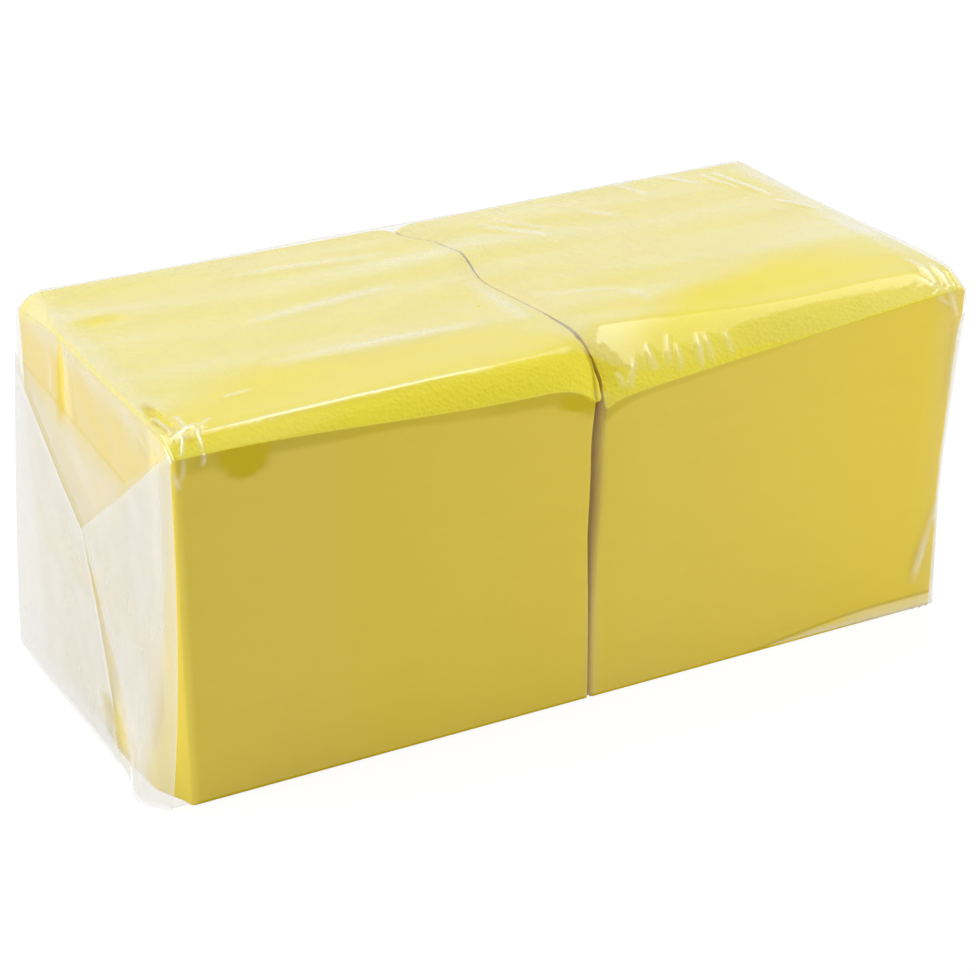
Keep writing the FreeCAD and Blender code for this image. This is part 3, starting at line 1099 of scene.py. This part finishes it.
    def top_tuck(self, mesh: SheetMesh, side: Side, depth: float = 60.0) -> None:
        """The part of the top that turns over the end and is tucked down first.

        Args:
            mesh: the mesh that it is added to.
            side: the end that it lies on.
            depth: how far it reaches down.
        """
        rows, columns = (54, 60) if side is Side.LEFT else (30, 30)
        v = np.linspace(0.0, 1.0, rows)[:, None]
        y = np.linspace(self.form.front, self.form.back, columns)[None, :]
        turn = self.form.end_radius(side, y)
        edge_x = self.end_line(side, y, np.full_like(y, self.form.top)) - side.value * turn
        head = self.over_top(edge_x, y)
        bent, taper = 0.16, 0.16
        angle = np.clip(v / bent, 0.0, 1.0) * np.pi / 2.0
        down = np.clip((v - bent) / (1.0 - bent), 0.0, 1.0)
        z = head - turn * (1.0 - np.cos(angle)) - down * depth
        over = turn * (1.0 - np.sin(angle))
        y = y * (1.0 - taper * down)
        folds = 0.65 + 0.7 * (1.0 - smooth(0.5, 9.0, head - z))
        self.end_panel(mesh, side, y, z, 0.0, folds, np.full_like(z, 9.0), over)

    def build_end(self, mesh: SheetMesh, side: Side) -> None:
        """The envelope fold of one end: top and foot tucked in first, then the two side flaps.

        Each row below is a flap's four corners, the layers under it, its thicknesses of film and
        how crisp its free edges are.

        Args:
            mesh: the mesh that it is added to.
            side: the end.
        """
        self.top_tuck(mesh, side)
        top = 105.8 if side is Side.LEFT else 96.5
        for corners, layer, folds, crisp in (
            (((58.6, 0.3), (-58.6, 0.3), (42.0, 43.0), (-42.0, 43.0)), 1.0, 1.0, 0.0),
            (((58.8, 90.5), (58.8, 1.0), (-25.9, 84.0), (-22.0, 1.5)), 2.0, 1.1, 0.35),
            (((-57.6, top), (-58.8, 1.0), (-25.9, 84.0), (-16.0, 2.0)), 3.0, 1.1, 0.2),
            (((58.9, 90.0), (58.9, 0.2), (3.6, 58.0), (-30.0, 0.6)), 4.0, 1.8, 1.0),
            (((-58.8, top), (-58.8, 0.2), (3.6, 58.0), (-45.0, 0.3)), 5.0, 1.8, 1.0),
        ):
            self.flap(mesh, side, corners, layer, folds, crisp)

    def build(self, finish: "FilmFinish", inside: list[bpy.types.Object]) -> bpy.types.Object:
        """Make the film in one piece and dress it.

        Args:
            finish: the film's finish.
            inside: the stacks that it lies on; not used.

        Returns:
            The film.
        """
        mesh = SheetMesh()
        self.build_tube(mesh)
        for side in Side:
            self.build_end(mesh, side)
        piece = mesh.build("film_wrap_folded")
        piece.data.materials.append(finish.material())
        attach(piece, "root")
        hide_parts("film_wrap")
        LOG.info("%s: %d faces", piece.name, len(piece.data.polygons))
        return piece


class Signal:
    """One shader socket, with the operators that shader maths is written in."""

    def __init__(self, wiring: "Wiring", socket: bpy.types.NodeSocket) -> None:
        """Keep the socket and the wiring that it belongs to."""
        self.wiring = wiring
        self.socket = socket

    def maths(self, operation: str, *others: Any, swap: bool = False) -> "Signal":
        """A Math node of this value and the others, in this order or the other way round."""
        values = (*others, self) if swap else (self, *others)
        return self.wiring.node("ShaderNodeMath", {"operation": operation}, *values)

    def __add__(self, other: Any) -> "Signal":
        """This value plus the other."""
        return self.maths("ADD", other)

    __radd__ = __add__

    def __mul__(self, other: Any) -> "Signal":
        """This value times the other."""
        return self.maths("MULTIPLY", other)

    __rmul__ = __mul__

    def __sub__(self, other: Any) -> "Signal":
        """This value less the other."""
        return self.maths("SUBTRACT", other)

    def __rsub__(self, other: Any) -> "Signal":
        """The other value less this."""
        return self.maths("SUBTRACT", other, swap=True)

    def __pow__(self, other: Any) -> "Signal":
        """This value to a power."""
        return self.maths("POWER", other)

    def step(self, low: float, high: float) -> "Signal":
        """This value's smooth rise from 0 at low to 1 at high."""
        settings = {"interpolation_type": "SMOOTHSTEP"}
        return self.wiring.node("ShaderNodeMapRange", settings, Value=self, From_Min=low,
                                From_Max=high)

    def kept(self, low: float, high: float) -> "Signal":
        """This value held between low and high."""
        return self.wiring.node("ShaderNodeClamp", {}, Value=self, Min=low, Max=high)


class Wiring:
    """A material's or world's node tree, filled by one method."""

    def __init__(self, tree: bpy.types.NodeTree) -> None:
        """Empty the tree."""
        self.tree = tree
        tree.nodes.clear()

    def node(self, kind: str, settings: dict[str, Any], *values: Any, output: int = 0,
             **named: Any) -> Signal:
        """Add a node.

        Args:
            kind: the node's type.
            settings: its settings, set before its sockets.
            values: values or signals for its first sockets, in order.
            output: which output is wanted.
            named: values or signals for sockets by name, with _ for a space.

        Returns:
            The wanted output as a signal.
        """
        made = self.tree.nodes.new(kind)
        for key, setting in settings.items():
            setattr(made, key, setting)
        for index, value in enumerate(values):
            self.feed(made.inputs[index], value)
        for key, value in named.items():
            self.feed(self.socket(made, key.replace("_", " ")), value)
        return Signal(self, made.outputs[output] if made.outputs else made.inputs[0])

    def socket(self, made: bpy.types.Node, name: str) -> bpy.types.NodeSocket:
        """The node's enabled input of that name."""
        return next(s for s in made.inputs if s.name == name and s.enabled)

    def feed(self, socket: bpy.types.NodeSocket, value: Any) -> None:
        """Link a signal to a socket, or set it to a constant."""
        if isinstance(value, Signal):
            self.tree.links.new(value.socket, socket)
        else:
            socket.default_value = value

    def mixed(self, share: Any, first: Any, second: Any) -> Signal:
        """A colour between two colours.

        Args:
            share: how much of the second colour shows, from 0 to 1.
            first, second: the colours.

        Returns:
            The mixed colour.
        """
        made = self.tree.nodes.new("ShaderNodeMix")
        made.data_type = "RGBA"
        self.feed(made.inputs["Factor"], share)
        colours = [s for s in made.inputs if s.type == "RGBA"]
        self.feed(colours[0], first)
        self.feed(colours[1], second)
        return Signal(self, next(s for s in made.outputs if s.type == "RGBA"))

    def noise(self, scale: float, detail: float = 2.0, stretch: tuple[float, ...] = (1, 1, 1)
              ) -> Signal:
        """Noise on object coordinates.

        Args:
            scale: its cells per metre.
            detail: how many finer layers it has.
            stretch: what each axis is multiplied by first.

        Returns:
            The noise, from 0 to 1.
        """
        place = self.node("ShaderNodeTexCoord", {}, output=3)
        turned = self.node("ShaderNodeMapping", {}, Vector=place, Scale=stretch)
        return self.node("ShaderNodeTexNoise", {}, Vector=turned, Scale=scale, Detail=detail)

    def bump(self, height: Signal, strength: float, distance: float) -> Signal:
        """The surface's normal, bumped by a height whose full range is a distance in metres."""
        return self.node("ShaderNodeBump", {}, Height=height, Strength=strength, Distance=distance)


def new_material(name: str) -> tuple[bpy.types.Material, Wiring]:
    """An empty material with nodes, and its wiring."""
    made = bpy.data.materials.new(name)
    made.use_nodes = True
    return made, Wiring(made.node_tree)


@dataclass(frozen=True)
class TissueFinish:
    """Soft dyed tissue: matt, a little fibrous, with a dotted embossed border on top.

    Attributes:
        name: the material's name.
        top_colour, fold_colour: the top napkin's two shades.
        edge_colour, deep_colour: the two shades of the leaves' edges.
        painted_shade_and_cling_colour, lit_colour: painted shade and the deeper colour where the
        film clings, where the tone is -1, and painted light, where it is 1.
        roughness: how matt it is.
        dot_pitch: mean distance between two embossed dots.
        border: width of the embossed border.
    """

    name: str = "yellow_tissue"
    top_colour: tuple[float, ...] = (0.89, 0.765, 0.035, 1.0)
    fold_colour: tuple[float, ...] = (0.87, 0.735, 0.03, 1.0)
    edge_colour: tuple[float, ...] = (0.84, 0.645, 0.05, 1.0)
    deep_colour: tuple[float, ...] = (0.825, 0.63, 0.045, 1.0)
    painted_shade_and_cling_colour: tuple[float, ...] = (0.66, 0.5, 0.0, 1.0)
    lit_colour: tuple[float, ...] = (1.0, 0.8, 0.08, 1.0)
    roughness: float = 0.92
    dot_pitch: float = 1.2
    border: float = 8.0

    def material(self) -> bpy.types.Material:
        """Build the tissue."""
        made, wire = new_material(self.name)
        surface = wire.node("ShaderNodeUVMap", {"uv_map": "surface"})
        inset = wire.node("ShaderNodeSeparateXYZ", {}, surface, output=1)
        top = wire.node("ShaderNodeAttribute", {"attribute_name": "top_sheet"}, output=2)
        place = wire.node("ShaderNodeTexCoord", {}, output=3)
        dots = wire.node("ShaderNodeTexVoronoi", {}, Vector=place, Scale=1000.0 / self.dot_pitch)
        border = (1.0 - (inset * MAP_UNIT).step(self.border - 2.0, self.border + 1.0)) * top
        fibres = wire.noise(900.0, 1.0)
        cloud = wire.noise(45.0, 2.0)
        leaf = wire.noise(60.0, 2.0, (1.0, 1.0, 9.0))
        side_colour = wire.mixed(leaf.step(0.2, 0.8), self.deep_colour, self.edge_colour)
        top_colour = wire.mixed(cloud.step(0.2, 0.8), self.fold_colour, self.top_colour)
        colour = wire.mixed(top, side_colour, top_colour)
        tone = wire.node("ShaderNodeAttribute", {"attribute_name": "tone"}, output=2)
        # Painted shade, and the deeper colour where the film clings, where the tone is below 0;
        # painted light where it is above 0.
        colour = wire.mixed((tone * -1.0).kept(0.0, 1.0), colour, self.painted_shade_and_cling_colour)
        colour = wire.mixed(tone.kept(0.0, 1.0), colour, self.lit_colour)
        height = fibres * (0.15 + top * 0.25) + dots * border * 1.2
        normal = wire.bump(height, 0.6, 0.0004)
        shade = wire.node("ShaderNodeBsdfPrincipled", {}, Base_Color=colour,
                          Roughness=self.roughness, Normal=normal)
        wire.node("ShaderNodeOutputMaterial", {}, shade)
        return made


@dataclass(frozen=True)
class FilmFinish:
    """Thin clear film: nearly clear face on, whitish at a slant, with soft creases.

    Attributes:
        name: the material's name.
        milk, clung_milk: veil of one thickness face on, where it is loose and where it clings.
        mirror, clung_mirror: strength of its sheen, where it is loose and where it clings.
        roughness: how blurred its reflections are.
        milk_colour, mirror_colour: colours of the veil and of the sheen.
    """

    name: str = "clear_film"
    milk: float = 0.09
    clung_milk: float = 0.002
    mirror: float = 1.85
    clung_mirror: float = 0.25
    roughness: float = 0.12
    milk_colour: tuple[float, ...] = (0.91, 0.935, 0.95, 1.0)
    mirror_colour: tuple[float, ...] = (0.98, 0.98, 1.0, 1.0)

    def material(self) -> bpy.types.Material:
        """Build the film: see-through, with a mirror and a little milk that grow by the slant.

        The sheen is 0.04 + 0.96 slant^5 and the milk grows as 1 / (1.08 - slant), where slant is
        0 face on and 1 edge on. A place that stands for n films lets through (1 - share)^n.
        """
        made, wire = new_material(self.name)
        cling = wire.node("ShaderNodeAttribute", {"attribute_name": "cling"}, output=2)
        folds = wire.node("ShaderNodeAttribute", {"attribute_name": "folds"}, output=2)
        soft = wire.noise(70.0, 1.0, (0.35, 1.0, 1.0))
        normal = wire.bump(soft, 0.2, 0.001)
        slant = wire.node("ShaderNodeLayerWeight", {}, Blend=0.5, Normal=normal, output=1)
        sheen = slant ** 5.0 * 0.96 + 0.04
        depth = (1.08 - slant).maths("DIVIDE", 1.0, swap=True)
        loose = sheen * self.mirror + depth * self.milk
        clung = sheen * self.clung_mirror + depth * self.clung_milk
        single = (loose + (clung - loose) * cling).kept(0.0, 0.96)
        share = 1.0 - (1.0 - single) ** folds
        clear = wire.node("ShaderNodeBsdfTransparent", {}, WHITE)
        mirror = wire.node("ShaderNodeBsdfAnisotropic", {}, Color=self.mirror_colour,
                           Roughness=self.roughness, Normal=normal)
        near = wire.node("ShaderNodeBsdfDiffuse", {}, Color=self.milk_colour)
        far = wire.node("ShaderNodeBsdfTranslucent", {}, Color=self.milk_colour)
        milk = wire.node("ShaderNodeMixShader", {}, 0.45, near, far)
        face = wire.node("ShaderNodeMixShader", {}, 0.4, mirror, milk)
        film = wire.node("ShaderNodeMixShader", {}, share, clear, face)
        wire.node("ShaderNodeOutputMaterial", {}, film)
        return made


@dataclass(frozen=True)
class Studio:
    """A pale floor, soft light and the camera at the photograph's angle.

    Attributes:
        azimuth, elevation: the camera's direction from the target, in degrees.
        distance: how far the camera is from the target.
        focal_px, picture_px: its focal length and the picture's width, in pixels.
        target: the point that it looks at.
        ambient: strength of the even light from all round.
        sensor: width of the camera's sensor.
        floor_side: side of the square floor, in metres.
        floor_colour, floor_glow: the floor's colour in light, and its glow where it is seen.
    """

    azimuth: float = -28.06
    elevation: float = 26.05
    distance: float = 840.1
    focal_px: float = 2805.1
    target: tuple[float, float, float] = (3.0, 0.0, 43.3)
    ambient: float = 0.37
    picture_px: float = 975.0
    sensor: float = 36.0
    floor_side: float = 12.0
    floor_colour: tuple[float, ...] = (0.74, 0.74, 0.74, 1.0)
    floor_glow: float = 1.12

    def camera(self) -> None:
        """Place the camera on its line from the target and look back along it."""
        turn, rise = math.radians(self.azimuth), math.radians(self.elevation)
        back = Vector((math.sin(turn) * math.cos(rise), -math.cos(turn) * math.cos(rise),
                       math.sin(rise)))
        data = bpy.data.cameras.new("camera")
        data.sensor_fit = "HORIZONTAL"
        data.sensor_width = self.sensor
        data.lens = self.focal_px / self.picture_px * self.sensor
        data.clip_start, data.clip_end = 0.01, 50.0
        eye = bpy.data.objects.new("camera", data)
        eye.location = (Vector(self.target) + back * self.distance) * METRE
        eye.rotation_euler = back.to_track_quat("Z", "Y").to_euler()
        bpy.context.scene.collection.objects.link(eye)
        bpy.context.scene.camera = eye

    def world(self) -> None:
        """White to the camera and in reflections, and soft plain light on the object."""
        world = bpy.data.worlds.new("studio")
        bpy.context.scene.world = world
        world.use_nodes = True
        wire = Wiring(world.node_tree)
        seen = self.seen(wire)
        white = wire.node("ShaderNodeBackground", {}, WHITE, 1.0)
        light = wire.node("ShaderNodeBackground", {}, WHITE, self.ambient)
        both = wire.node("ShaderNodeMixShader", {}, seen, light, white)
        wire.node("ShaderNodeOutputWorld", {}, both)

    def seen(self, wire: Wiring, mirrored: float = 1.0) -> Signal:
        """Which rays show a picture: those from the camera, through glass or off a mirror.

        Args:
            wire: the wiring that the answer is used in.
            mirrored: the answer for rays that have met a mirror.

        Returns:
            1 for rays from the camera or through glass, mirrored for mirrored ones, else 0.
        """
        ports = wire.node("ShaderNodeLightPath", {}).socket.node.outputs
        direct = Signal(wire, ports["Is Camera Ray"]) + Signal(wire, ports["Is Transmission Ray"])
        return (direct + Signal(wire, ports["Is Glossy Ray"]) * mirrored).kept(0.0, 1.0)

    def floor(self) -> None:
        """A plain pale floor under the pack, which keeps its soft shadow."""
        half = self.floor_side / 2.0
        mesh = bpy.data.meshes.new("floor")
        corners = [(-half, -half, 0.0), (half, -half, 0.0), (half, half, 0.0), (-half, half, 0.0)]
        mesh.from_pydata(corners, [], [(0, 1, 2, 3)])
        floor = bpy.data.objects.new("floor", mesh)
        bpy.context.scene.collection.objects.link(floor)
        made, wire = new_material("pale_floor")
        matt = wire.node("ShaderNodeBsdfDiffuse", {}, Color=self.floor_colour)
        glow = wire.node("ShaderNodeEmission", {}, WHITE, self.floor_glow)
        share = self.seen(wire, 0.55) * 0.8
        both = wire.node("ShaderNodeMixShader", {}, share, matt, glow)
        wire.node("ShaderNodeOutputMaterial", {}, both)
        mesh.materials.append(made)

    def lamp(self, name: str, place: tuple[float, ...], size: float, watts: float,
             mirrored: bool = True) -> None:
        """A square soft lamp that faces the pack.

        Args:
            name: the lamp's name.
            place: where it hangs, in metres.
            size: its side, in metres.
            watts: its power.
            mirrored: whether the film shows its reflection.
        """
        data = bpy.data.lights.new(name, "AREA")
        data.size = size
        data.energy = watts
        lamp = bpy.data.objects.new(name, data)
        lamp.visible_camera = False
        lamp.visible_glossy = mirrored
        lamp.location = place
        aim = Vector(place) - Vector((0.0, 0.0, 0.05))
        lamp.rotation_euler = aim.to_track_quat("Z", "Y").to_euler()
        bpy.context.scene.collection.objects.link(lamp)

    def build(self) -> None:
        """Set up the whole studio."""
        self.camera()
        self.world()
        self.floor()
        self.lamp("lamp_above", (0.15, 0.25, 1.5), 1.7, 13.9)
        self.lamp("lamp_left", (-1.2, 0.25, 0.5), 0.6, 7.8)
        self.lamp("lamp_front", (0.4, -0.4, 0.12), 0.4, 1.25, mirrored=False)
        view = bpy.context.scene.view_settings
        view.view_transform = "Standard"


def main() -> None:
    """Build the pack and its studio, in order."""
    logging.basicConfig(level=logging.INFO, format="%(message)s")
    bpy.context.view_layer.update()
    form = PackForm.from_frame()
    tissue = TissueFinish()
    stacks = [NapkinStack(side, form).build(tissue) for side in Side]
    FilmWrap(form).build(FilmFinish(), stacks)
    Studio().build()


if __name__ == "__main__":
    main()
